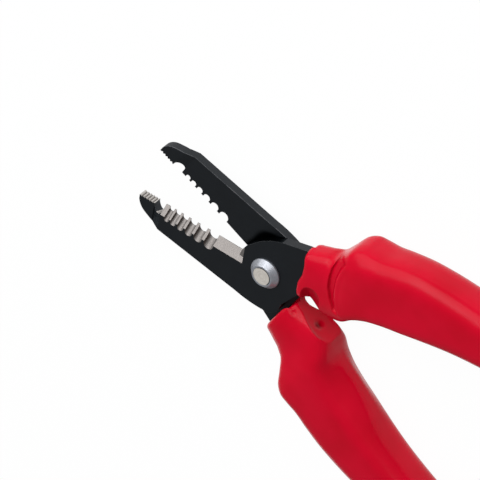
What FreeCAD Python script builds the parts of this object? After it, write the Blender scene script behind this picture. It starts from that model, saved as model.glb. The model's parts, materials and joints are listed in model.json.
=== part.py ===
import FreeCAD, Part
import math
import os
import Sketcher

# Wire stripper, modelled in millimetres.
# Both halves are the same stamping with the same moulded grip. Each piece is drawn in the frame of its half:
# origin on the pivot axis in the plane where the plates meet, +X towards the nose, +Y towards the outer edge
# of the jaw, +Z towards the outer side of the plate. The rear half is the front one turned over about X.

doc = FreeCAD.newDocument("wire_stripper")
sheet = doc.addObject("Spreadsheet::Sheet", "size")

SIZES = {
    # Both plates
    "plate": 3.2,
    "plate_gap": 0.04,
    "opening": 24.8,
    # Nose: serrated pliers face, set over by half a plate so that the two noses meet in one plane
    "nose_tip": 54.1,
    "nose_blunt": 1.8,
    "nose_round": 6.5,
    "nose_shoulder_x": 50.9,
    "nose_shoulder_y": 6.1,
    "tooth_gap": 0.05,
    "tooth_pitch": 1.15,
    "tooth_depth": 0.55,
    "tooth_count": 5,
    "set_over_start": 44.0,
    "set_over_run": 3.5,
    # Looping notch behind the nose
    "loop_x": 45.8,
    "loop_y": 0.6,
    "loop_radius": 1.9,
    # Jaw: the ground strip edge reaches past the centre line and carries a notch for each wire
    "overlap": 1.1,
    "bevel_run": 2.9,
    "notch_sink": 0.5,
    "first_land": 1.83,
    "land": 0.84,
    "land_growth": 0.085,
    "wire_20": 0.81,
    "wire_18": 1.02,
    "wire_16": 1.29,
    "wire_14": 1.63,
    "wire_12": 2.05,
    "wire_10": 2.59,
    "cutter_runout": 1.5,
    "jaw_front_x": 48.9,
    "jaw_front_y": 7.25,
    "jaw_back_x": 46.3,
    "jaw_back_y": 8.2,
    "jaw_round": 8.0,
    # Hub round the pivot
    "hub_edge_x": 10.0,
    "hub_edge_y": 14.5,
    "hub_crown": 40.0,
    "lobe_x": 2.6,
    "lobe_y": 15.6,
    "lobe_round": 5.4,
    "lobe_back_x": 7.7,
    "lobe_back_y": 10.9,
    "waist_x": 8.2,
    "waist_y": 8.9,
    "stop_x": 13.35,
    "stop_y": 1.1,
    "hub_front": 11.05,
    "hub_front_turn": 47.0,
    "hub_bend": 25.0,
    "bend_foot_x": 4.2,
    "bend_foot_y": 16.15,
    # Tang inside the grip
    "mouth_x": 13.7,
    "mouth_outer": 18.6,
    "mouth_inner": 8.5,
    "tang_width": 8.4,
    "tang_end": 6.0,
    "tang_set_over": 1.1,
    # Pivot
    "pin_radius": 3.3,
    "bore_clearance": 0.04,
    "collar_clearance": 0.08,
    "collar_float": 0.03,
    "head_radius": 5.65,
    "head_height": 2.4,
    "head_rim": 0.5,
    "head_top_radius": 3.95,
    # Grip sections: distance behind the pivot, reach to the outer and the inner side, half the thickness
    "face_x": 13.6,
    "face_outer": 18.2,
    "face_inner": 1.6,
    "face_half": 5.2,
    "lip_x": 14.9,
    "lip_outer": 19.8,
    "lip_inner": 0.6,
    "lip_half": 6.3,
    "collar_x": 21.5,
    "collar_outer": 22.1,
    "collar_inner": -3.2,
    "collar_half": 6.7,
    "neck_x": 28.0,
    "neck_outer": 28.9,
    "neck_inner": -2.6,
    "neck_half": 7.5,
    "bulb_x": 34.4,
    "bulb_outer": 36.6,
    "bulb_inner": 1.0,
    "bulb_half": 8.7,
    "swell_x": 42.0,
    "swell_outer": 39.1,
    "swell_inner": 5.6,
    "swell_half": 9.0,
    "palm_x": 57.0,
    "palm_outer": 38.5,
    "palm_inner": 10.3,
    "palm_half": 9.0,
    "heel_x": 79.0,
    "heel_outer": 35.9,
    "heel_inner": 13.9,
    "heel_half": 9.0,
    "tail_x": 103.0,
    "tail_outer": 31.6,
    "tail_inner": 13.8,
    "tail_half": 8.2,
    "cap_x": 116.5,
    "cap_outer": 27.8,
    "cap_inner": 14.8,
    "cap_half": 6.0,
    "end_x": 119.6,
    "end_outer": 24.8,
    "end_inner": 17.6,
    "end_half": 2.9,
    "grip_corner": 4.8,
    "grip_flat": 9.1,
    "flat_margin": 1.0,
    "grip_fit": 0.02,
    # Oval stop pad that meets the other grip when the nose is closed
    "pad_x": 24.4,
    "pad_gap": 0.15,
    "dish_radius": 25.0,
    "dish_depth": 0.5,
    # Groove and scallop on the outer side of the grip
    "groove_top_x": 25.5,
    "groove_top_y": 25.0,
    "groove_foot_x": 29.5,
    "groove_foot_y": 5.8,
    "groove_bend": 24.0,
    "groove_width": 1.5,
    "groove_depth": 0.9,
    "scallop_front_x": 15.4,
    "scallop_back_x": 23.2,
    "scallop_top_y": 4.6,
    "scallop_round": 4.1,
    "scallop_floor": 2.2,
}
SECTIONS = ("face", "lip", "collar", "neck", "bulb", "swell", "palm", "heel", "tail", "cap", "end")
WIRES = ("wire_20", "wire_18", "wire_16", "wire_14", "wire_12", "wire_10")

for row, (name, number) in enumerate(SIZES.items(), start=1):
    sheet.set(f"A{row}", name)
    sheet.set(f"B{row}", str(number))
    sheet.setAlias(f"B{row}", name)
doc.recompute()


def value(text):
    """Number that an expression on the sheet stands for now."""
    return float(sheet.evalExpression(text.replace("size.", "")))


def sketch_on(body, name, role, offset=None):
    """Empty sketch on one of the body's own origin planes, set off along the plane's normal."""
    sketch = body.newObject("Sketcher::SketchObject", f"{body.Name}_{name}")
    plane = next(feature for feature in body.Origin.OriginFeatures if feature.Role == role)
    sketch.AttachmentSupport = [(plane, "")]
    sketch.MapMode = "FlatFace"
    if offset:
        sketch.setExpression("AttachmentOffset.Base.z", offset)
    return sketch


def bind(sketch, kind, place, text):
    """Dimension in a sketch that follows an expression on the sheet."""
    index = sketch.addConstraint(Sketcher.Constraint(kind, *place, value(text)))
    sketch.setExpression(f"Constraints[{index}]", text)


def bind_point(sketch, geometry, end, x, y):
    """Both coordinates of a point from the sketch origin."""
    bind(sketch, "DistanceX", (-1, 1, geometry, end), x)
    bind(sketch, "DistanceY", (-1, 1, geometry, end), y)


def edge_between(start, finish, radius=None, side=None):
    """Line, or arc whose centre lies on the given side of the way from start to finish.

    Gives the geometry and which of its ends is the start: arcs always run anticlockwise.
    """
    if radius is None:
        return Part.LineSegment(start, finish), (1, 2)
    chord = finish - start
    across = FreeCAD.Vector(-chord.y, chord.x, 0).normalize()
    reach = math.sqrt(max(radius ** 2 - chord.Length ** 2 / 4, 0))
    centre = (start + finish) / 2 + across * (reach if side == "left" else -reach)
    first, last = (start, finish) if side == "left" else (finish, start)
    angles = [math.atan2(end.y - centre.y, end.x - centre.x) for end in (first, last)]
    circle = Part.Circle(centre, FreeCAD.Vector(0, 0, 1), radius)
    return Part.ArcOfCircle(circle, *angles), ((1, 2) if side == "left" else (2, 1))


def outline(sketch, steps):
    """Closed outline. Each step is a point, with the radius and side of the arc that leaves it, if any."""
    points = [FreeCAD.Vector(value(step[0]), value(step[1]), 0) for step in steps]
    edges = []
    for number, step in enumerate(steps):
        start, finish = points[number], points[(number + 1) % len(points)]
        if len(step) == 2:
            geometry, ends = edge_between(start, finish)
        else:
            geometry, ends = edge_between(start, finish, value(step[2]), step[3])
        edges.append((sketch.addGeometry(geometry), ends))
    for number, step in enumerate(steps):
        index, ends = edges[number]
        following, following_ends = edges[(number + 1) % len(edges)]
        bind_point(sketch, index, ends[0], step[0], step[1])
        sketch.addConstraint(Sketcher.Constraint("Coincident", index, ends[1], following, following_ends[0]))
        if len(step) > 2:
            bind(sketch, "Radius", (index,), step[2])


def circle(sketch, x, y, radius):
    middle = FreeCAD.Vector(value(x), value(y), 0)
    index = sketch.addGeometry(Part.Circle(middle, FreeCAD.Vector(0, 0, 1), value(radius)))
    bind_point(sketch, index, 3, x, y)
    bind(sketch, "Radius", (index,), radius)


def extrude(body, kind, name, sketch, up, down=None, direction=None):
    """Pad or Pocket of a sketch: up along its normal and down against it, or along a slanting direction."""
    feature = body.newObject(f"PartDesign::{kind}", f"{body.Name}_{name}")
    feature.Profile = sketch
    feature.setExpression("Length", up)
    if kind == "Pocket" and not direction:
        feature.Reversed = True
    if down:
        feature.SideType = "Two sides"
        feature.setExpression("Length2", down)
    if direction:
        feature.UseCustomVector = True
        feature.Direction = FreeCAD.Vector(*[value(part) for part in direction])
    return feature


TOP = "size.plate_gap / 2 + size.plate"
BASE = "size.plate_gap / 2"
HALF = "size.plate / 2"
TANG_TURN = "size.mouth_x + size.tang_set_over"
TANG_SET = "size.mouth_x + size.tang_set_over + size.set_over_run"
TOOL_ROOM = 1.0
GRIP_ROOM = f"size.palm_half + {TOOL_ROOM}"


def tang_edge(section, side, spare="0"):
    """Point of the tang's edge at a grip section: the tang runs along the middle of the grip."""
    middle = f"(size.{section}_outer + size.{section}_inner) / 2"
    return f"-size.{section}_x", f"-({middle} {side} (size.tang_width / 2 + {spare}))"


def blade(label):
    """Stamped plate with jaw, hub and tang; nose and tang are set over by half a plate."""
    body = doc.addObject("PartDesign::Body", label)

    plan = sketch_on(body, "plan", "XY_Plane")
    step_y = "size.loop_y"
    loop_back = "size.loop_x - size.loop_radius"
    loop_front = "size.loop_x + size.loop_radius"
    hub_wall = "sqrt(size.hub_front ^ 2 - size.overlap ^ 2)"
    hub_turn = "size.hub_front_turn * 1deg"
    outline(plan, [
        ("size.nose_tip", "size.tooth_gap"),
        ("size.nose_tip", "size.nose_blunt", "size.nose_round", "left"),
        ("size.nose_shoulder_x", "size.nose_shoulder_y"),
        ("size.jaw_front_x", "size.jaw_front_y", "size.jaw_round", "left"),
        ("size.jaw_back_x", "size.jaw_back_y"),
        ("size.hub_edge_x", "size.hub_edge_y", "size.hub_crown", "left"),
        ("-size.lobe_x", "size.lobe_y", "size.lobe_round", "left"),
        ("-size.lobe_back_x", "size.lobe_back_y"),
        ("-size.waist_x", "size.waist_y"),
        ("-size.stop_x", "size.stop_y"),
        ("-size.stop_x", "-size.mouth_inner"),
        tang_edge("neck", "-"),
        tang_edge("bulb", "-"),
        tang_edge("palm", "-"),
        (*tang_edge("tail", "-"), "size.tang_end", "left"),
        tang_edge("tail", "+"),
        tang_edge("palm", "+"),
        tang_edge("bulb", "+"),
        tang_edge("neck", "+"),
        ("-size.mouth_x", "-size.mouth_outer"),
        ("-size.bend_foot_x", "-size.bend_foot_y", "size.hub_bend", "left"),
        (f"size.hub_front * cos({hub_turn})", f"-size.hub_front * sin({hub_turn})", "size.hub_front", "left"),
        (hub_wall, "-size.overlap"),
        (loop_back, "-size.overlap"),
        (loop_back, step_y),
        (loop_front, step_y),
        (loop_front, "size.tooth_gap"),
    ])
    extrude(body, "Pad", "stamping", plan, TOP, HALF)

    side = sketch_on(body, "set_over", "XZ_Plane")
    nose_set = "size.set_over_start + size.set_over_run"
    ahead = f"size.nose_tip + {TOOL_ROOM}"
    behind = f"-size.end_x - {TOOL_ROOM}"
    above = f"{TOP} + {TOOL_ROOM}"
    below = f"-{HALF} - {TOOL_ROOM}"
    outline(side, [("size.set_over_start", TOP), (nose_set, HALF), (ahead, HALF), (ahead, above),
                   ("size.set_over_start", above)])
    outline(side, [(f"-({TANG_TURN})", TOP), (f"-({TANG_TURN})", above), (behind, above), (behind, HALF),
                   (f"-({TANG_SET})", HALF)])
    outline(side, [(f"-({TANG_TURN})", BASE), (f"-({TANG_SET})", f"-{HALF}"), (f"-({TANG_SET})", below),
                   (nose_set, below), (nose_set, f"-{HALF}"), ("size.set_over_start", BASE)])
    width = "size.end_x"
    extrude(body, "Pocket", "bends", side, width, width)

    holes = sketch_on(body, "holes", "XY_Plane")
    circle(holes, "0", "0", "size.pin_radius + size.bore_clearance")
    circle(holes, "size.loop_x", "size.loop_y", "size.loop_radius")
    extrude(body, "Pocket", "bore_and_loop", holes, TOP, HALF)

    grind_notches(body, hub_wall)

    runout = sketch_on(body, "runout", "XY_Plane", BASE)
    outline(runout, [(hub_wall, "-size.overlap"), (hub_wall, "-size.overlap - size.bevel_run"),
                     (f"{hub_wall} + 2 * size.cutter_runout", "-size.overlap - size.bevel_run"),
                     (f"{hub_wall} + 2 * size.cutter_runout", "-size.overlap")])
    extrude(body, "Pocket", "cutter_runout", runout, "size.plate", None,
            ("-size.cutter_runout", "size.bevel_run", "size.plate"))

    groove = sketch_on(body, "tooth", "XY_Plane")
    first = "size.nose_tip - size.tooth_pitch * 5 / 6"
    outline(groove, [(first, "size.tooth_depth"), (f"{first} - size.tooth_pitch / 2", "-size.tooth_gap"),
                     (f"{first} + size.tooth_pitch / 2", "-size.tooth_gap")])
    tooth = extrude(body, "Pocket", "serration", groove, TOP, HALF)
    row = body.newObject("PartDesign::LinearPattern", f"{body.Name}_serrations")
    row.Originals = [tooth]
    row.Direction = (next(axis for axis in body.Origin.OriginFeatures if axis.Role == "X_Axis"), [""])
    row.Reversed = True
    row.setExpression("Occurrences", "size.tooth_count")
    row.setExpression("Length", "size.tooth_pitch * (size.tooth_count - 1)")
    body.Tip = row
    return body


def grind_notches(body, hub_wall):
    """Strip edge ground from the outer side: every notch is a round channel that slants with the bevel."""
    sketch = sketch_on(body, "notches", "XY_Plane", BASE)
    edge = "-size.overlap"
    deep = "-size.overlap - size.bevel_run - size.plate"
    centre_y = value("size.notch_sink - size.overlap")
    start_x = value("size.loop_x - size.loop_radius - size.first_land")
    arcs = []
    for number, wire in enumerate(WIRES):
        radius = f"size.overlap - size.notch_sink + size.{wire} / 2"
        turn = math.asin(value("size.notch_sink") / value(radius))
        across = value(radius) * math.cos(turn)
        middle = FreeCAD.Vector(start_x - across, centre_y, 0)
        ring = Part.Circle(middle, FreeCAD.Vector(0, 0, 1), value(radius))
        arc = sketch.addGeometry(Part.ArcOfCircle(ring, -turn, math.pi + turn))
        bind(sketch, "Radius", (arc,), radius)
        bind(sketch, "DistanceY", (-1, 1, arc, 3), "size.notch_sink - size.overlap")
        bind(sketch, "DistanceY", (-1, 1, arc, 1), edge)
        bind(sketch, "DistanceY", (-1, 1, arc, 2), edge)
        if arcs:
            bind(sketch, "DistanceX", (arc, 1, arcs[-1], 2), f"size.land + {number - 1} * size.land_growth")
        else:
            bind(sketch, "DistanceX", (-1, 1, arc, 1), "size.loop_x - size.loop_radius - size.first_land")
        arcs.append(arc)
        start_x -= 2 * across + value(f"size.land + {number} * size.land_growth")

    corners = [("size.loop_x", edge), ("size.loop_x", deep), (hub_wall, deep), (hub_wall, edge)]
    points = [FreeCAD.Vector(value(x), value(y), 0) for x, y in corners]
    border = [sketch.addGeometry(Part.LineSegment(*pair)) for pair in zip(points[:-1], points[1:])]
    for index, (x, y) in zip(border, corners[:-1]):
        bind_point(sketch, index, 1, x, y)
    bind_point(sketch, border[-1], 2, *corners[-1])
    for one, other in zip(border[:-1], border[1:]):
        sketch.addConstraint(Sketcher.Constraint("Coincident", one, 2, other, 1))

    ends = [(border[0], 1)] + [(arc, 2) for arc in arcs]
    starts = [(arc, 1) for arc in arcs] + [(border[-1], 2)]
    for end, start in zip(ends, starts):
        between = [sketch.getPoint(*end), sketch.getPoint(*start)]
        land = sketch.addGeometry(Part.LineSegment(*between))
        sketch.addConstraint(Sketcher.Constraint("Coincident", land, 1, *end))
        sketch.addConstraint(Sketcher.Constraint("Coincident", land, 2, *start))
    extrude(body, "Pocket", "strip_edge", sketch, "size.plate", None, ("0", "size.bevel_run", "size.plate"))


def grip(label):
    """Moulded grip lofted along the tang, with flat sides, stop pad, groove, scallop and tang cavity."""
    body = doc.addObject("PartDesign::Body", label)
    sections = [grip_section(body, name) for name in SECTIONS]
    loft = body.newObject("PartDesign::AdditiveLoft", f"{body.Name}_hull")
    loft.Profile = sections[0]
    loft.Sections = sections[1:]
    loft.Ruled = True

    flats = sketch_on(body, "flats", "XY_Plane")
    margin = "size.grip_corner + size.flat_margin"
    outline(flats, [(f"-size.{name}_x", f"-size.{name}_{side}")
                    for name, side in (("swell", f"inner - {margin}"), ("swell", f"outer + {margin}"),
                                       ("palm", f"outer + {margin}"), ("heel", f"outer + {margin}"),
                                       ("heel", f"inner - {margin}"), ("palm", f"inner - {margin}"))])
    extrude(body, "Pad", "side_flats", flats, "size.grip_flat", "size.grip_flat")

    face = sketch_on(body, "pad_face", "XY_Plane")
    outline(face, [("-size.face_x", "-size.pad_gap"), ("-size.face_x", GRIP_ROOM),
                   ("-size.bulb_x", GRIP_ROOM), ("-size.bulb_x", "-size.pad_gap")])
    extrude(body, "Pocket", "stop_pad", face, GRIP_ROOM, GRIP_ROOM)

    dish = body.newObject("PartDesign::SubtractiveSphere", f"{body.Name}_dish")
    dish.setExpression("Radius", "size.dish_radius")
    dish_y = value("size.dish_radius - size.dish_depth - size.pad_gap")
    dish.Placement = FreeCAD.Placement(FreeCAD.Vector(-value("size.pad_x"), dish_y, 0), FreeCAD.Rotation())

    slot = sketch_on(body, "groove", "XY_Plane", "size.neck_half - size.groove_depth")
    outline(slot, [
        ("-size.groove_top_x", "-size.groove_top_y", "size.groove_bend", "left"),
        ("-size.groove_foot_x", "-size.groove_foot_y"),
        ("-size.groove_foot_x - size.groove_width", "-size.groove_foot_y", "size.groove_bend", "right"),
        ("-size.groove_top_x - size.groove_width", "-size.groove_top_y"),
    ])
    extrude(body, "Pocket", "groove", slot, GRIP_ROOM)

    arch = sketch_on(body, "scallop", "XY_Plane", "size.scallop_floor")
    outline(arch, [("-size.scallop_front_x", "size.pad_gap"),
                   ("-size.scallop_back_x", "size.pad_gap"),
                   ("-size.scallop_back_x", "-size.scallop_top_y", "size.scallop_round", "left"),
                   ("-size.scallop_front_x", "-size.scallop_top_y")])
    extrude(body, "Pocket", "scallop", arch, GRIP_ROOM)

    inside = sketch_on(body, "cavity", "XY_Plane")
    fit = "size.grip_fit"
    tail_x, tail_in = tang_edge("tail", "-", fit)
    tail_out = tang_edge("tail", "+", fit)[1]
    inner = f"-(size.mouth_inner - {fit})"
    outer = f"-(size.mouth_outer + {fit})"
    outline(inside, [(f"-({TANG_TURN})", inner),
                     tang_edge("neck", "-", fit),
                     tang_edge("bulb", "-", fit),
                     tang_edge("palm", "-", fit),
                     (f"{tail_x} - {fit}", tail_in, "size.tang_end", "left"),
                     (f"{tail_x} - {fit}", tail_out),
                     tang_edge("palm", "+", fit),
                     tang_edge("bulb", "+", fit),
                     tang_edge("neck", "+", fit),
                     (f"-({TANG_TURN})", outer)])
    extrude(body, "Pocket", "cavity", inside, f"{HALF} + {fit}", f"{HALF} + {fit}")

    mouth = sketch_on(body, "mouth", "XZ_Plane", "size.mouth_inner - size.grip_fit")
    outline(mouth, [(f"-size.face_x + {TOOL_ROOM}", f"{TOP} + {fit}"),
                    (f"-({TANG_TURN})", f"{TOP} + {fit}"),
                    (f"-({TANG_SET})", f"{HALF} + {fit}"),
                    (f"-({TANG_SET})", f"-{HALF} - {fit}"),
                    (f"-({TANG_TURN})", f"{BASE} - {fit}"),
                    (f"-size.face_x + {TOOL_ROOM}", f"{BASE} - {fit}")])
    extrude(body, "Pocket", "mouth", mouth, f"size.mouth_outer - size.mouth_inner + 2 * {fit}")
    return body


def grip_section(body, name):
    """Rounded rectangle across the grip: Y runs across the handle and Z through its thickness."""
    sketch = sketch_on(body, f"section_{name}", "YZ_Plane", f"-size.{name}_x")
    outer, inner, half = f"-size.{name}_outer", f"-size.{name}_inner", f"size.{name}_half"
    corner = f"min(size.grip_corner; 0.9 * size.{name}_half)"
    outline(sketch, [
        (f"{inner} - {corner}", half),
        (f"{outer} + {corner}", half, corner, "left"),
        (outer, f"{half} - {corner}"),
        (outer, f"-{half} + {corner}", corner, "left"),
        (f"{outer} + {corner}", f"-{half}"),
        (f"{inner} - {corner}", f"-{half}", corner, "left"),
        (inner, f"-{half} + {corner}"),
        (inner, f"{half} - {corner}", corner, "left"),
    ])
    return sketch


def turned(label, profile):
    """Piece turned about the pivot axis. The profile's points are a radius and a height."""
    body = doc.addObject("PartDesign::Body", label)
    sketch = sketch_on(body, "profile", "XZ_Plane")
    outline(sketch, profile)
    turn = body.newObject("PartDesign::Revolution", f"{label}_turning")
    turn.Profile = sketch
    turn.ReferenceAxis = (sketch, ["V_Axis"])
    return body


def pivot_pin():
    """Pin with a bevelled head behind the rear plate; its plain end is flush with the collar."""
    end = f"{TOP} + size.collar_float + size.head_height"
    return turned("pivot_pin", [
        ("0", end), ("0", f"-({TOP}) - size.head_height"),
        ("size.head_top_radius", f"-({TOP}) - size.head_height"),
        ("size.head_radius", f"-({TOP}) - size.head_rim"),
        ("size.head_radius", f"-({TOP})"),
        ("size.pin_radius", f"-({TOP})"),
        ("size.pin_radius", end),
    ])


def pivot_collar():
    """Bevelled ring on the front end of the pin."""
    seat = f"{TOP} + size.collar_float"
    bore = "size.pin_radius + size.collar_clearance"
    return turned("pivot_collar", [
        (bore, seat), ("size.head_radius", seat),
        ("size.head_radius", f"{seat} + size.head_rim"),
        ("size.head_top_radius", f"{seat} + size.head_height"),
        (bore, f"{seat} + size.head_height"),
    ])


front_half = [blade("front_blade"), grip("front_grip")]
rear_half = [blade("rear_blade"), grip("rear_grip")]
pivot = [pivot_pin(), pivot_collar()]
doc.recompute()

# Rest position: the halves stand open by the angle on the sheet, and the part's origin is under its middle
half_angle = value("size.opening") / 2
swing = FreeCAD.Rotation(FreeCAD.Vector(0, 0, 1), half_angle)
turn_over = FreeCAD.Rotation(FreeCAD.Vector(1, 0, 0), 180)
turns = {"front": swing, "rear": swing.inverted() * turn_over, "pivot": FreeCAD.Rotation()}
halves = {"front": front_half, "rear": rear_half, "pivot": pivot}
for name, pieces in halves.items():
    for piece in pieces:
        piece.Placement = FreeCAD.Placement(FreeCAD.Vector(), turns[name])
doc.recompute()

pieces = front_half + rear_half + pivot
whole = Part.makeCompound([piece.Shape for piece in pieces]).optimalBoundingBox(False, False)
shift = FreeCAD.Vector(-whole.Center.x, -whole.Center.y, -whole.ZMin)
for piece in pieces:
    piece.Placement = FreeCAD.Placement(shift, piece.Placement.Rotation)
doc.recompute()

for item in doc.Objects:
    if "Invalid" in item.State or "Error" in item.State:
        raise RuntimeError(f"{item.Name} did not build: {item.State}")
for piece in pieces:
    if piece.Shape.isNull() or not piece.Shape.isValid() or len(piece.Shape.Solids) != 1:
        raise RuntimeError(f"{piece.Label} is not one valid solid")

os.makedirs("parts", exist_ok=True)
for piece in pieces:
    piece.Shape.exportStep(f"parts/{piece.Label}.step")
    print(piece.Label, round(piece.Shape.Volume, 1), "mm3")
print("pivot at", [round(number, 4) for number in shift])
print("overall", round(whole.XLength, 2), round(whole.YLength, 2), round(whole.ZLength, 2))
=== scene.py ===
import json
import math

import bpy
import numpy as np
from mathutils import Matrix, Vector


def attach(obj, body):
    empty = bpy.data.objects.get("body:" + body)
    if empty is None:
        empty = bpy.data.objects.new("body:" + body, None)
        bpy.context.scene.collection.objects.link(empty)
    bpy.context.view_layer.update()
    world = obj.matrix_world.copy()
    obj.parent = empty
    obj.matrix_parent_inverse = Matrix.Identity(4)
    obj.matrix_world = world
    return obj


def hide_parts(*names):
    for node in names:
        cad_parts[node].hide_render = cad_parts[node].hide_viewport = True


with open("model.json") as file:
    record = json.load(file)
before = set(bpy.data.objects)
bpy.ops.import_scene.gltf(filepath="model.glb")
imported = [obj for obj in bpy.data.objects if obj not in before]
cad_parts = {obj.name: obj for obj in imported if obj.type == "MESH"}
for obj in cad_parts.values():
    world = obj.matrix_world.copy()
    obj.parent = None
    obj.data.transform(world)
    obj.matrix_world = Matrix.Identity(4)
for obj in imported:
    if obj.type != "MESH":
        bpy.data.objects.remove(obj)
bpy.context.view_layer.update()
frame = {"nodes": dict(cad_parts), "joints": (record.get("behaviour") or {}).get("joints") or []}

# The two blades. Both are the same stamping of 3.2 mm steel, blacked all over and then ground bright on the
# stripping notches, the cutter and the nose's teeth. The front one is turned by half the opening about the
# pivot, and the rear one is the same piece turned over.
MM = 0.001  # the tool's sizes are in millimetres, and this turns them into metres
pivot = np.array(frame["joints"][0]["pos_m"])
half_opening = math.radians(24.8 / 2)
plate_gap = 0.02
plate_thick = 3.2
hub_radius = 11.05
strip_edge = -1.1
bevel_slope = 2.9 / plate_thick
runout_slope = 1.5 / plate_thick
cutter_end_x = math.sqrt(hub_radius ** 2 - strip_edge ** 2)
loop_front_x = 43.9
loop_wall_x = 45.3
loop_wall_lean = 0.4
loop_top_y = 6
bend_start_x = 44
bend_end_x = 47.8
bend_length = 3.5
bend_height = 1.62
tooth_start_x = 47.7
tooth_top_y = 0.62
hairline = 0.03

# The stripping notches, from the loop back to the pivot, with a land before each. A land grows a little with
# every notch.
first_land = 1.83
land_width = 0.84
land_growth = 0.085
notch_centre_y = -0.6
notch_margin = 0.6
notch_radii = [notch_margin + wire / 2 for wire in (0.81, 1.02, 1.29, 1.63, 2.05, 2.59)]
notch_centres = []
edge_x = loop_front_x - first_land
for number, radius in enumerate(notch_radii):
    half_width = math.sqrt(radius ** 2 - (notch_centre_y - strip_edge) ** 2)
    notch_centres.append(edge_x - half_width)
    edge_x -= 2 * half_width + land_width + land_growth * number

# A face whose normal leans less than wall_facing out of the plate is one of its sheared walls. Painted shade
# darkens the black and dims its reflection on the wall round the hub and on the inner face that lies in contact
# beside the other hub.
wall_facing = 0.6
inner_face_z = 1
worn_start_x = 2
hub_wall_x = -6
hub_wall_y = 3
hub_wall_reach = 16.5
contact_reach = 11.0
contact_fade = 1.8
contact_stretch = 2.6

oxide_face = (0.0008, 0.0012, 0.0022, 1), (0.0018, 0.0026, 0.0040, 1)
# Sheared walls: a lighter black, partly the rougher sheared surface, partly painted light facing the lamps.
oxide_wall_and_light = (0.0020, 0.0022, 0.0030, 1), (0.0080, 0.0080, 0.0095, 1)
oxide_worn = (0.16, 0.16, 0.17, 1)
# Painted shade: near black for where the blades lie close together.
oxide_painted_shade = (0.0004, 0.0005, 0.0007, 1)
ground_steel = (0.24, 0.216, 0.203, 1), (0.315, 0.29, 0.275, 1)
# Painted shade: a dark brown for the nose-side wall of each notch.
notch_shade_brown = (0.075, 0.05, 0.04, 1)
# Teeth: bright steel at the gripping edge, darkening away from it as painted shade in their valleys.
tooth_steel_and_shade = (0.62, 0.585, 0.55, 1), (0.16, 0.14, 0.125, 1)
loop_wall_steel = (0.60, 0.56, 0.53, 1)


class Value:
    """A value inside a material's nodes. Arithmetic on it adds the Math nodes that work the result out."""

    def __init__(self, tree, socket=None):
        self.tree = tree
        self.socket = socket

    def node(self, kind, settings=None, inputs=None, output=0):
        """Adds a node, sets its settings and then its sockets, and gives the value of one of its outputs."""
        node = self.tree.nodes.new("ShaderNode" + kind)
        for name, setting in (settings or {}).items():
            setattr(node, name, setting)
        for name, given in (inputs or {}).items():
            if isinstance(given, Value):
                self.tree.links.new(given.socket, node.inputs[name])
            else:
                node.inputs[name].default_value = given
        return Value(self.tree, node.outputs[output]) if node.outputs else None

    def math(self, operation, *others):
        """A Math node of this value and the others."""
        return self.node("Math", {"operation": operation}, dict(enumerate((self,) + others)))

    def between(self, low, high):
        """0 below low, 1 above high and smooth between them."""
        return self.node("MapRange", {"interpolation_type": "SMOOTHSTEP"},
                         {"Value": self, "From Min": low, "From Max": high})

    def mix(self, first, second):
        """The first colour where this value is 0 and the second where it is 1."""
        return self.node("Mix", {"data_type": "RGBA"}, {0: self, 6: first, 7: second}, 2)

    def __add__(self, other):
        return self.math("ADD", other)

    def __sub__(self, other):
        return self.math("SUBTRACT", other)

    def __rsub__(self, other):
        return self.node("Math", {"operation": "SUBTRACT"}, {0: other, 1: self})

    def __mul__(self, other):
        return self.math("MULTIPLY", other)

    def __truediv__(self, other):
        return self.math("DIVIDE", other)

    def __lt__(self, other):
        return self.math("LESS_THAN", other)

    def __gt__(self, other):
        return self.math("GREATER_THAN", other)

    def __or__(self, other):
        return self.math("MAXIMUM", other)

    __radd__ = __add__
    __rmul__ = __mul__


def new_finish(name):
    """A material with an empty node tree, as the value that its first nodes are added to."""
    material = bpy.data.materials.new(name)
    material.use_nodes = True
    material.node_tree.nodes.clear()
    return material, Value(material.node_tree)


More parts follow.
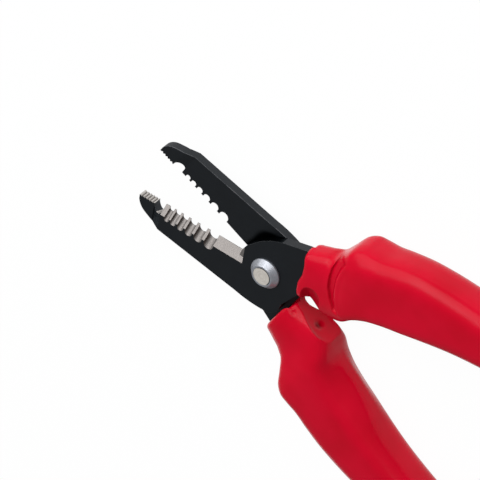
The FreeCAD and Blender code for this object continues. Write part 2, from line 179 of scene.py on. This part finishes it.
def blade_finish(name, rear):
    """Black oxide steel with the ground places bright.

    The nodes count in the half's own millimetres, like the stamping: X to the nose, Y to the jaw's outer edge
    and Z out of the plate. The grinding runs along a slope of the bevel, so a point is ground when it lies
    inside the outline of the strip edge after it has been slid back along that slope. The front wall of the
    loop and the teeth are bright too. The black is worn grey where the rounded normal leaves the true one, and
    along the walls' corner at the inner face, which steps down at the nose's bend. Painted shade darkens it to
    near black and dims its reflection where the blades lie close together: round the hub, beside the other hub
    and on the bend.
    """
    material, start = new_finish(name)
    turn = Matrix.Rotation(-half_opening, 3, "Z")
    if rear:
        turn = turn @ Matrix.Rotation(math.pi, 3, "X")
    shift = -(turn @ Vector(pivot / MM))
    place = start.node("Mapping", None, {
        "Vector": start.node("TexCoord", output="Object"), "Location": shift,
        "Rotation": turn.to_euler("XYZ"), "Scale": (1 / MM, 1 / MM, 1 / MM)})
    split = start.node("SeparateXYZ", None, {0: place})
    x, y, z = (Value(split.tree, socket) for socket in split.socket.node.outputs)
    facing = start.node("SeparateXYZ", None, {0: start.node("TexCoord", output="Normal")}, 2)
    side = facing.math("ABSOLUTE") < wall_facing
    flat = start.node("CombineXYZ", None, {0: x, 1: y})
    from_pin = start.node("VectorMath", {"operation": "LENGTH"}, {0: flat}, 1)

    slid = y - (z - plate_gap) * bevel_slope
    on_slope = start.node("CombineXYZ", None, {0: x, 1: slid})
    ground = slid < strip_edge + hairline
    notch_shade = None
    for centre, radius in zip(notch_centres, notch_radii):
        middle = (centre, notch_centre_y, 0)
        reach = start.node("VectorMath", {"operation": "DISTANCE"}, {0: on_slope, 1: middle}, 1)
        inside = reach < radius + hairline
        ground = ground | inside
        # Painted shade: the nose-side wall of each notch, which faces away from the light, is tinted dark brown.
        wall = ((x - centre) / radius).between(0.62, 0.92) * inside
        notch_shade = wall if notch_shade is None else notch_shade | wall
    runout = cutter_end_x - (z - plate_gap) * runout_slope
    ground = ground * (x < loop_front_x - hairline) * (x > runout + hairline)
    loop_wall = side * (x > loop_front_x - hairline) * (x < z * loop_wall_lean + loop_wall_x) * (y < loop_top_y)
    teeth = side * (x > tooth_start_x) * (y < tooth_top_y)
    bright = ground | loop_wall | teeth

    lines = start.node("TexNoise", None, {
        "Vector": start.node("CombineXYZ", None, {0: x * 9, 1: slid * 0.5, 2: z * 0.35}),
        "Scale": 1.0, "Detail": 3.0, "Roughness": 0.6})
    streaks = start.node("TexNoise", None, {
        "Vector": start.node("CombineXYZ", None, {0: x * 0.8, 1: y * 0.8, 2: z * 3.0}),
        "Scale": 1.0, "Detail": 4.0})
    clouds = start.node("TexNoise", None, {"Vector": place, "Scale": 0.25, "Detail": 3.0, "Roughness": 0.55})
    grain = start.node("TexNoise", None, {"Vector": place, "Scale": 6.0, "Detail": 2.0, "Roughness": 0.6})

    rounded = start.node("Bevel", {"samples": 6}, {"Radius": 0.18 * MM})
    sharp = start.node("NewGeometry", output="Normal")
    level = start.node("VectorMath", {"operation": "DOT_PRODUCT"}, {0: rounded, 1: sharp}, 1)
    edge = (1 - level).between(0.02, 0.22)
    worn = edge * (grain * 0.6 + clouds * 0.7).between(0.42, 0.72)
    bend = (x - bend_start_x).math("MAXIMUM", 0).math("MINIMUM", bend_length) * (bend_height / bend_length)
    from_face = (z - plate_gap + bend).math("ABSOLUTE")
    corner = side * (1 - from_face.between(0.12, 0.34)) * (x > worn_start_x)
    worn = worn | corner * (grain * 0.5 + clouds * 0.5).between(0.36, 0.6) * 0.85

    # Painted shade: the hub's wall, the inner face in contact beside the other hub and the face over the bend are
    # darkened to near black, and Metallic is raised there so that their reflection is dimmed too.
    hub_wall = side * (from_pin < hub_wall_reach) * (y < hub_wall_y) * (x - hub_wall_x).between(0, 3)
    beside_hub = from_pin - y.between(2, 11) * contact_stretch
    beyond = beside_hub.between(contact_reach, contact_reach + contact_fade)
    contact = (1 - side) * (z < inner_face_z) * (1 - beyond) * (x > 0)
    on_bend = (1 - side) * (z > inner_face_z) * (x > bend_start_x) * (x < bend_end_x) * 0.8
    painted_shade = (hub_wall | contact | on_bend) * (1 - bright)

    # The walls take the lighter black: partly their rougher surface, partly painted light.
    black = side.mix(clouds.between(0.3, 0.7).mix(*oxide_face), streaks.between(0.25, 0.75).mix(*oxide_wall_and_light))
    black = worn.mix(black, oxide_worn)
    black = painted_shade.mix(black, oxide_painted_shade)
    steel = lines.between(0.25, 0.75).mix(*ground_steel)
    steel = (notch_shade * 0.8).mix(steel, notch_shade_brown)
    # Painted shade: the teeth darken away from their gripping edge, for the shade in their valleys.
    steel = teeth.mix(steel, (y - 0.1).between(0.0, 0.5).mix(*tooth_steel_and_shade))
    steel = loop_wall.mix(steel, loop_wall_steel)
    roughness = bright * (0.36 + lines * 0.12) + (1 - bright) * (0.42 + grain * 0.12 + side * 0.12)
    height = bright * lines * 0.5 + (1 - bright) * grain * 0.5
    bump = start.node("Bump", None, {"Strength": 0.25, "Distance": 0.04 * MM, "Height": height, "Normal": rounded})
    shader = start.node("BsdfPrincipled", None, {
        "Base Color": bright.mix(black, steel), "Metallic": bright * 0.6 | painted_shade, "Roughness": roughness,
        "Normal": bump, "Specular IOR Level": 0.55, "Specular Tint": (0.84, 0.92, 1.0, 1)})
    start.node("OutputMaterial", None, {"Surface": shader})
    return material


def finish_node(node, material):
    """Puts a finish on a CAD node, whose shape stays as it is."""
    for slot in frame["nodes"][node].material_slots:
        slot.link = "OBJECT"
        slot.material = material


finish_node("front_blade", blade_finish("black_oxide_front", False))
finish_node("rear_blade", blade_finish("black_oxide_rear", True))


# The grips. Both are the same dip-moulded red vinyl sleeve on a blade's tang: a collar behind the pivot, a
# valley, a bulb for the thumb and a long palm swell. Moulded in, an oval stop pad meets the other grip.

# Each row is a section: the distance behind the pivot, the reach to the outer and the inner side, half the
# thickness, and how square the corner is: outside above, outside below, inside above and inside below.
grip_sections = np.array([
    (13.6, 19.2, -0.3, 6.0, 3.9, 2.0, 4.8, 2.0),
    (15.5, 19.7, -0.5, 6.4, 3.7, 2.0, 4.4, 1.9),
    (18.0, 20.6, -0.8, 6.6, 3.3, 2.1, 3.6, 2.0),
    (21.0, 21.6, -1.8, 6.7, 3.0, 2.3, 3.1, 2.2),
    (24.0, 22.3, -2.6, 6.8, 3.0, 3.5, 3.0, 2.5),
    (27.0, 26.2, -2.5, 7.2, 3.0, 4.6, 3.2, 2.7),
    (30.0, 30.6, -1.0, 8.0, 3.0, 5.0, 3.8, 2.7),
    (33.0, 32.5, 1.2, 8.8, 2.8, 4.9, 4.8, 2.7),
    (36.5, 33.0, 4.8, 9.3, 2.8, 4.1, 5.6, 2.7),
    (41.0, 33.6, 7.3, 9.4, 2.8, 3.4, 5.2, 2.6),
    (47.0, 35.2, 9.1, 9.4, 2.8, 3.0, 4.8, 2.5),
    (55.0, 36.6, 10.5, 9.4, 2.8, 2.8, 4.2, 2.5),
    (62.0, 36.9, 11.7, 9.4, 2.7, 2.7, 3.6, 2.5),
    (73.0, 36.4, 13.4, 9.4, 2.6, 2.6, 3.0, 2.5),
    (85.0, 35.2, 14.4, 9.3, 2.5, 2.5, 2.7, 2.6),
    (97.0, 32.8, 14.4, 8.8, 2.4, 2.4, 2.5, 2.5),
    (107.0, 30.4, 13.6, 7.8, 2.2, 2.2, 2.3, 2.3),
    (113.6, 28.8, 14.0, 7.0, 2.1, 2.1, 2.1, 2.1),
    (119.6, 27.0, 15.2, 6.0, 2.0, 2.0, 2.0, 2.0)])
face_x = 13.6
face_round = 1.1
dense_x = 38
cap_x = 113.6
cap_round = 6.0
grip_flat = 9.1
pad_plane = -0.15
dish_depth = 0.45
stop_x = -24.7
dimple_depth = 0.9

# Lines on the grip. The scallop's and the ridge's points are a distance behind the pivot and a height, and the
# valley's are a distance outward from the half's middle line and the X of the valley's side there.
scallop_rim = np.transpose([(15.6, -2.0), (15.9, -4.6), (16.6, -6.3), (17.4, -7.2), (18.4, -7.7), (19.4, -7.9),
                            (20.6, -7.75), (21.7, -7.4), (22.7, -6.5), (23.3, -5.2), (23.5, 0.0)])
scallop_foot = np.transpose([(15.2, 4.6), (16.0, 3.9), (16.5, 3.1), (17.5, 2.2), (18.8, 2.7), (20.1, 3.4),
                             (21.5, 4.2), (23.5, 5.4)])
scallop_top = 6.4
ridge_height = np.transpose([(33, 0), (37.5, 1.0), (41.5, 1.9), (48, 2.2), (66, 0)])
valley_front = np.transpose([(5.6, -28.8), (8.5, -26.8), (12.2, -25.2), (15.6, -24.7), (19.7, -24.5),
                             (24.5, -25.4)])
valley_back = np.transpose([(5.2, -31.0), (6.8, -29.4), (10.5, -27.8), (13.9, -27.3), (17.6, -27.2),
                            (22.2, -27.9), (26.1, -29.6)])


def smooth(low, high, values):
    """0 before low, 1 past high and a smooth S between them. It falls where low is the greater number."""
    t = np.clip((values - low) / (high - low), 0, 1)
    return t * t * (3 - 2 * t)


def curve(at, knots, heights):
    """Smooth curve through the knots: cubic pieces whose slope at a knot is that between its neighbours."""
    slopes = np.gradient(heights, knots)
    index = np.clip(np.searchsorted(knots, at) - 1, 0, len(knots) - 2)
    width = knots[index + 1] - knots[index]
    t = np.clip((at - knots[index]) / width, 0, 1)
    return ((2 * t ** 3 - 3 * t ** 2 + 1) * heights[index] + (t ** 3 - 2 * t ** 2 + t) * width * slopes[index]
            + (3 * t ** 2 - 2 * t ** 3) * heights[index + 1] + (t ** 3 - t ** 2) * width * slopes[index + 1])


def soft_lower(values, limit, radius):
    """The lower of the two, with a fillet of about that radius where they meet."""
    h = np.clip(0.5 + (values - limit) / (4 * radius), 0, 1)
    return values * (1 - h) + limit * h - 2 * radius * h * (1 - h)


def half_to_tool(points, rear):
    """Points of a half, in millimetres, as places in the tool's frame, in metres.

    The half is turned over about X if it is the rear one, swung open about Z and moved to the pivot.
    """
    over = np.array([1, -1, -1]) if rear else np.array([1, 1, 1])
    swing = -half_opening if rear else half_opening
    turn = np.array([[math.cos(swing), -math.sin(swing), 0], [math.sin(swing), math.cos(swing), 0], [0, 0, 1]])
    return (points * over) @ turn.T * MM + pivot


def grip_points(rear):
    """The grip as rings of points, from the middle of its front face to the tip of its tail.

    A ring is a superellipse across the grip. At the angle t round it, y and z are the half sizes times cos(t) and
    sin(t), over (|cos(t)|^n + |sin(t)|^n)^(1/n), and each quarter has its own n. Each end is rounded by drawing
    its rings in along a quarter circle, and closed by rings that shrink to a point.
    """
    quarter = np.linspace(0, math.pi / 2, 12)
    body = np.concatenate([np.linspace(face_x + face_round, dense_x, 176)[1:],
                           np.linspace(dense_x, cap_x, 84)[1:]])
    closed_front = np.linspace(0, 0.97, 7)
    closed_tail = np.array([0.7, 0.35, 0])
    along = np.concatenate([face_x + closed_front * 0, face_x + face_round * (1 - np.cos(quarter)), body,
                            cap_x + cap_round * np.sin(quarter[1:]), cap_x + cap_round + closed_tail * 0])
    inset = np.concatenate([face_round + closed_front * 0, face_round * (1 - np.sin(quarter)), body * 0,
                            cap_round * (1 - np.cos(quarter[1:])), cap_round + closed_tail * 0])
    closing = np.ones(len(along))
    closing[:len(closed_front)] = closed_front
    closing[-len(closed_tail):] = closed_tail
    outer, inner, half, *corners = (curve(along, grip_sections[:, 0], column) for column in grip_sections.T[1:])
    half_y = ((outer - inner) / 2 - inset) * closing
    half_z = (half - inset) * closing
    t = np.linspace(0, 2 * math.pi, 288, endpoint=False)
    cosine, sine = np.cos(t), np.sin(t)
    outside_above, outside_below, inside_above, inside_below = (power[:, None] for power in corners)
    power = np.where(cosine > 0, np.where(sine > 0, inside_above, inside_below),
                     np.where(sine > 0, outside_above, outside_below))
    reach = (np.abs(cosine) ** power + np.abs(sine) ** power) ** (-1 / power)
    y = half_y[:, None] * cosine * reach - ((outer + inner) / 2)[:, None]
    z = half_z[:, None] * sine * reach
    x = np.repeat(-along[:, None], len(t), axis=1)
    return shape_grip(x, y, z, rear)


def dish_pad(x, y, z):
    """y after the stop pad is made.

    The sleeve ends at the pad's plane, less a shallow dish that deepens with how far the plain sleeve would
    stand past that plane, less a dimple, which is a bell curve of the distance from the pad's middle.
    """
    past = np.clip(y - pad_plane, 0, 3)
    dimple = dimple_depth * np.exp(-((x - stop_x) ** 2 + z ** 2) / 2.2)
    return soft_lower(y, pad_plane - dish_depth * smooth(0, 2.4, past) - dimple, 0.12)


def cut_scallop(x, y, z, rear):
    """z after the scallop is cut beside the stop pad.

    Inside the rim line, z is held down to a straight slope, from the foot's height at the pad's plane to
    scallop_top at the rim. The rear grip's scallop runs out through its lip.
    """
    rim_y = np.interp(-x, *scallop_rim)
    foot_z = np.interp(-x, *scallop_foot)
    start = 15.5
    if rear:
        rim_y = np.where(x > -15.9, -4.6, rim_y)
        foot_z = np.where(x > -17.5, 2.2 + 1.1 * smooth(-15.9, -14.2, x), foot_z)
        start = 13.0
    slope = (scallop_top - foot_z) / np.maximum(pad_plane - rim_y, 0.3)
    floor_z = foot_z + (pad_plane - y) * slope
    cut = smooth(-0.1, 0.3, y - rim_y) * smooth(start, start + 0.4, -x) * smooth(-23.6, -23.1, x)
    return np.where(z > 0, z * (1 - cut) + np.minimum(z, floor_z) * cut, z)


def cut_valley(x, y, z):
    """z after the valley is pressed into the upper side, and how deep a point lies in the valley's folds.

    Between its front and back line the surface is 0.95 lower, with soft steps at both. Behind the back line
    a low rim stands up, as a bell curve, and bell curves along both lines are the folds, which the vinyl
    darkens as painted shade.
    """
    front = np.interp(-y, *valley_front)
    back = np.interp(-y, *valley_back)
    above = smooth(1.0, 4.0, z) * smooth(4.6, 6.2, -y) * smooth(-26.5, -24.0, y)
    fold = smooth(-0.05, 0.4, front - x) * smooth(-1.2, 0.2, x - back)
    rim = np.exp(-((x - back + 1.6) / 1.1) ** 2)
    crease = np.exp(-((front - x - 0.3) / 0.35) ** 2) + 0.7 * np.exp(-((x - back + 0.2) / 0.3) ** 2)
    return z + above * (0.22 * rim - 0.95 * fold), above * np.clip(0.15 * fold + 0.4 * crease, 0, 1)


def pucker_lip(x, y, z):
    """z after the small pucker in the lip's lower side: a bell-shaped bump with a dent beside it."""
    bump = np.exp(-((x + 16.2) ** 2 / 0.9 + (y + 2.9) ** 2 / 0.35))
    dent = np.exp(-((x + 16.4) ** 2 + (y + 1.9) ** 2) / 0.5)
    return np.where(z < -1, z - 0.3 * (bump - dent), z)


def lean_face(x, y, z):
    """x after the front face is shaped.

    The face comes forward below and goes back above, where two lobes come forward again. A band of it in the
    layer of the other blade, which swings past it there, stands back.
    """
    near_face = smooth(-18, -13.6, x)
    lobe = (smooth(-11.0, -5.5, y) + 0.75 * smooth(-13.5, -18.0, y)) * smooth(0, 3, z)
    x = x + near_face * (0.9 * smooth(3, -3, z) - 0.9 * smooth(-1, 4, z) + 1.1 * lobe)
    passing = smooth(-4.4, -3.4, z) * smooth(1.1, 0.2, z)
    return x - 1.2 * smooth(-16, -13, x) * passing


def shape_grip(x, y, z, rear):
    """Shapes the plain sleeve into the grip and adds how deep each point lies in a recess, from 0 to 1.2.

    Its broad sides are flattened first. The rear grip's inner side also carries a low ridge. The vinyl is
    darkened by that depth: painted shade in the scallop and the valley's folds, and a dark mark in the stop pad's
    dimple.
    """
    z = np.sign(z) * soft_lower(np.abs(z), grip_flat, 0.5)
    y = dish_pad(x, y, z)
    if rear:
        ridge = np.interp(-x, *ridge_height)
        y = y + ridge * smooth(-6, 1, z) * smooth(7.5, 2.5, z) * smooth(-20, -14, y)
    scooped = cut_scallop(x, y, z, rear)
    scallop = 0.55 * np.clip((z - scooped) / 0.8, 0, 1)
    z, folds = cut_valley(x, y, scooped)
    dimple = 1.2 * np.exp(-((x - stop_x) ** 2 + z ** 2) / 1.8) * smooth(-4, -1, y)
    hollow_shade_and_mark = np.maximum(np.maximum(scallop, folds), dimple)
    z = pucker_lip(x, y, z)
    return lean_face(x, y, z), y, z, hollow_shade_and_mark


def add_mesh(name, points, faces):
    """A mesh object of these points and faces, smooth all over."""
    mesh = bpy.data.meshes.new(name)
    mesh.from_pydata(points, [], faces)
    mesh.polygons.foreach_set("use_smooth", np.ones(len(mesh.polygons), bool))
    mesh.update()
    piece = bpy.data.objects.new(name, mesh)
    bpy.context.scene.collection.objects.link(piece)
    return piece


def ring_faces(rings, around):
    """Faces of a tube of rings that is closed at both ends by a fan round a single point."""
    first = 1 + np.arange(rings - 2)[:, None] * around + np.arange(around)
    after = 1 + np.arange(rings - 2)[:, None] * around + (np.arange(around) + 1) % around
    quads = np.stack([first[:-1], first[1:], after[1:], after[:-1]], axis=-1).reshape(-1, 4)
    last = 1 + (rings - 2) * around
    front = np.stack([np.zeros(around, int), first[0], after[0]], axis=-1)
    back = np.stack([np.full(around, last), after[-1], first[-1]], axis=-1)
    return front.tolist() + quads.tolist() + back.tolist()


vinyl_red = (0.73, 0.0006, 0.0200, 1), (0.82, 0.0012, 0.0270, 1)
# A dark red for painted shade in the scallop and the valley's folds, and for the dark mark in the stop pad's
# dimple.
vinyl_shade_and_mark = (0.18, 0.0001, 0.0020, 1)
vinyl, start = new_finish("red_vinyl")
here = start.node("TexCoord", output="Object")
cloud = start.node("TexNoise", None, {"Vector": here, "Scale": 60.0, "Detail": 2.0})
fine = start.node("TexNoise", None, {"Vector": here, "Scale": 900.0, "Detail": 2.0})
hollow_shade_and_mark = start.node("Attribute", {"attribute_name": "hollow_shade_and_mark"}, output="Fac")
# Painted shade in the scallop and the valley's folds, and a dark mark in the dimple, darken the red by depth.
vinyl_colour = (hollow_shade_and_mark * 0.75).mix(cloud.between(0.3, 0.7).mix(*vinyl_red), vinyl_shade_and_mark)
vinyl_bump = start.node("Bump", None, {
    "Strength": 0.3, "Distance": 0.4 * MM, "Height": cloud * 2.5 + fine * 0.04})
start.node("OutputMaterial", None, {"Surface": start.node("BsdfPrincipled", None, {
    "Base Color": vinyl_colour, "Roughness": 0.20 + fine * 0.08, "Normal": vinyl_bump,
    "Specular IOR Level": 0.17})})

for name, node, body, rear in (("front_grip_sleeve", "front_grip", "front_half", False),
                               ("rear_grip_sleeve", "rear_grip", "rear_half", True)):
    rings = np.stack(grip_points(rear), axis=-1)
    points = np.concatenate([rings[0, :1], rings[1:-1].reshape(-1, 4), rings[-1, :1]])
    sleeve = add_mesh(name, half_to_tool(points[:, :3], rear).tolist(), ring_faces(*rings.shape[:2]))
    sleeve.data.attributes.new("hollow_shade_and_mark", "FLOAT", "POINT").data.foreach_set("value", points[:, 3])
    sleeve.data.materials.append(vinyl)
    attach(sleeve, body)
    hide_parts(node)



# The pivot. A turned steel pin with a bevelled head holds the blades together, and a bright bevelled ring is
# fixed on its front end. The pin's face shows the rings of the lathe tool, and beside it a black arc of
# painted shade for the gap there.
pin_radius = 3.3
gap_inner = 3.12
gap_outer = 3.42
gap_side = (-0.5, -0.87, 0)
# Painted shade: black for the gap beside the pin.
gap_shade_black = (0.01, 0.01, 0.01, 1)
pin_steel = (0.70, 0.65, 0.58, 1), (0.90, 0.85, 0.78, 1)
collar_steel = (0.42, 0.44, 0.485, 1), (0.57, 0.59, 0.64, 1)


def turned_finish(name, colours, roughness, metallic, ring_height, ring_scale):
    """Turned steel: noise over the distance from the pivot axis makes fine rings in the colour and the bump.

    A black arc between two radii, where a point lies far enough along the direction gap_side, is painted shade
    for the slot between pin and ring.
    """
    material, start = new_finish(name)
    here = start.node("Mapping", None, {"Vector": start.node("TexCoord", output="Object"),
                                        "Location": -pivot / MM, "Scale": (1 / MM, 1 / MM, 1 / MM)})
    flat = start.node("VectorMath", {"operation": "MULTIPLY"}, {0: here, 1: (1, 1, 0)})
    reach = start.node("VectorMath", {"operation": "LENGTH"}, {0: flat}, 1)
    rings = start.node("TexNoise", {"noise_dimensions": "1D"}, {"W": reach, "Scale": ring_scale, "Detail": 3.0})
    clouds = start.node("TexNoise", None, {"Vector": here, "Scale": 0.8, "Detail": 2.0})
    away = start.node("VectorMath", {"operation": "DOT_PRODUCT"}, {0: flat, 1: gap_side}, 1) / pin_radius
    gap_shade = (reach > gap_inner) * (reach < gap_outer) * away.between(-0.1, 0.25)
    colour = gap_shade.mix((rings * 0.6 + clouds * 0.4).between(0.3, 0.7).mix(*colours), gap_shade_black)
    rounded = start.node("Bevel", {"samples": 6}, {"Radius": 0.12 * MM})
    bump = start.node("Bump", None, {"Strength": 0.4, "Distance": ring_height, "Height": rings, "Normal": rounded})
    start.node("OutputMaterial", None, {"Surface": start.node("BsdfPrincipled", None, {
        "Base Color": colour, "Metallic": metallic, "Roughness": roughness + rings * 0.1, "Normal": bump})})
    return material


finish_node("pivot_pin", turned_finish("turned_steel", pin_steel, 0.5, 0.1, 0.03 * MM, 3.0))
finish_node("pivot_collar", turned_finish("polished_steel", collar_steel, 0.32, 0.6, 0.01 * MM, 6.0))


# The floor and the room. A white sheet, 12 m across, shows as plain white to the camera and in the metal, and
# as ordinary paper to the light, so that it keeps the tool's shadow.
floor_half = 6
floor_mesh = bpy.data.meshes.new("floor")
floor_mesh.from_pydata([(-floor_half, -floor_half, 0), (floor_half, -floor_half, 0),
                        (floor_half, floor_half, 0), (-floor_half, floor_half, 0)], [], [(0, 1, 2, 3)])
floor = bpy.data.objects.new("floor", floor_mesh)
bpy.context.scene.collection.objects.link(floor)
paper, start = new_finish("white_paper")
path = start.node("LightPath", output="Is Camera Ray") | start.node("LightPath", output="Is Glossy Ray")
glow = start.node("Emission", None, {"Color": (1, 1, 1, 1), "Strength": 1.02})
matt = start.node("BsdfDiffuse", None, {"Color": (0.85, 0.85, 0.85, 1)})
start.node("OutputMaterial", None, {"Surface": start.node("MixShader", None, {0: path * 0.95, 1: matt, 2: glow})})
floor_mesh.materials.append(paper)

world = bpy.data.worlds.new("studio")
bpy.context.scene.world = world
world.use_nodes = True
world.node_tree.nodes.clear()
start = Value(world.node_tree)
room_light = start.node("LightPath", output="Is Camera Ray") * 0.75 + 0.25
start.node("OutputWorld", None, {"Surface": start.node("Background", None, {
    "Color": (0.96, 0.98, 1, 1), "Strength": room_light})})

# The camera looks down at the tool from the side of the front grip, 1.03 m away with a long lens.
# Its view is turned so that the nose points to the upper left.
view_azimuth = math.radians(-105.53)
view_elevation = math.radians(41.65)
view_up = Vector((0.6266, -0.6155, -0.4781))
view_distance = 1.02841
sight_left = 3.357
sight_up = 2.132
toward_camera = Vector((math.cos(view_azimuth) * math.cos(view_elevation),
                        math.sin(view_azimuth) * math.cos(view_elevation), math.sin(view_elevation)))
across = view_up.cross(toward_camera).normalized()
upright = toward_camera.cross(across)
sight = Vector(pivot) - across * sight_left * MM + upright * sight_up * MM
picture_width = 480
lens = bpy.data.cameras.new("camera")
lens.sensor_width = 36
lens.lens = 231.39
lens.shift_x = -21 / picture_width
lens.shift_y = 22 / picture_width
lens.clip_end = 10
camera = bpy.data.objects.new("camera", lens)
camera.matrix_world = (Matrix.Translation(sight + toward_camera * view_distance)
                       @ Matrix((across, upright, toward_camera)).transposed().to_4x4())
bpy.context.scene.collection.objects.link(camera)
bpy.context.scene.camera = camera


# The lamps: a key light from the upper left, a broad one from the front and one from the upper right.
def soft_lamp(name, toward, distance, width, power):
    """A square area lamp that stands in that direction from the pivot and faces it."""
    lamp = bpy.data.lights.new(name, "AREA")
    lamp.size = width
    lamp.energy = power
    place = bpy.data.objects.new(name, lamp)
    toward = toward.normalized()
    place.matrix_world = (Matrix.Translation(Vector(pivot) + toward * distance)
                          @ toward.to_track_quat("Z", "Y").to_matrix().to_4x4())
    bpy.context.scene.collection.objects.link(place)


soft_lamp("key_lamp", -across * 0.8 + upright * 0.5 + toward_camera * 0.6, 1.1, 1.0, 5.0)
soft_lamp("front_lamp", -across * 0.3 + upright * 0.25 + toward_camera * 0.9, 1.4, 1.2, 8.5)
soft_lamp("top_lamp", upright * 0.9 + across * 0.5 + toward_camera * 0.4, 1.1, 0.9, 10.0)

bpy.context.scene.view_settings.view_transform = "Standard"
